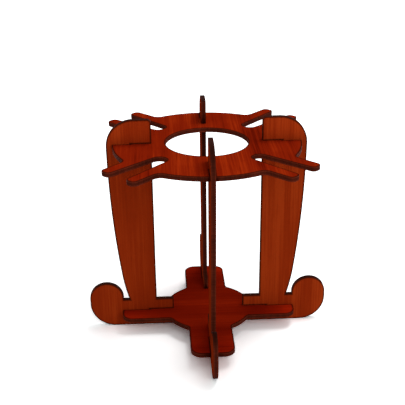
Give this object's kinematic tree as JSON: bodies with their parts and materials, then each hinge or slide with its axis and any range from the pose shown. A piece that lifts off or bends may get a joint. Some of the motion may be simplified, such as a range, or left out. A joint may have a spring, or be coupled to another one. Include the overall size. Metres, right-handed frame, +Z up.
{
  "type": "wine bottle and glass holder",
  "caption": "Table-top caddy of slotted wooden sheet: crossed uprights, a base plate that carries a bottle and a pronged top plate that hangs stemmed glasses.",
  "frame": {"origin": "on the surface it stands on, on the bottle's axis, at the centre of the four feet", "axes": "+Z up along the bottle's axis; -Y towards the front; +X to the right; one upright lies along each of +X, -X, +Y and -Y"},
  "size_m": [0.265, 0.265, 0.244],
  "materials": {
    "stained_wood": "satin red-brown stain, cut edges charred dark"
  },
  "bodies": {
    "root": {"base_plate": "stained_wood", "top_plate": "stained_wood", "upright_right": "stained_wood", "upright_back": "stained_wood", "upright_left": "stained_wood", "upright_front": "stained_wood"}
  },
  "joints": []
}
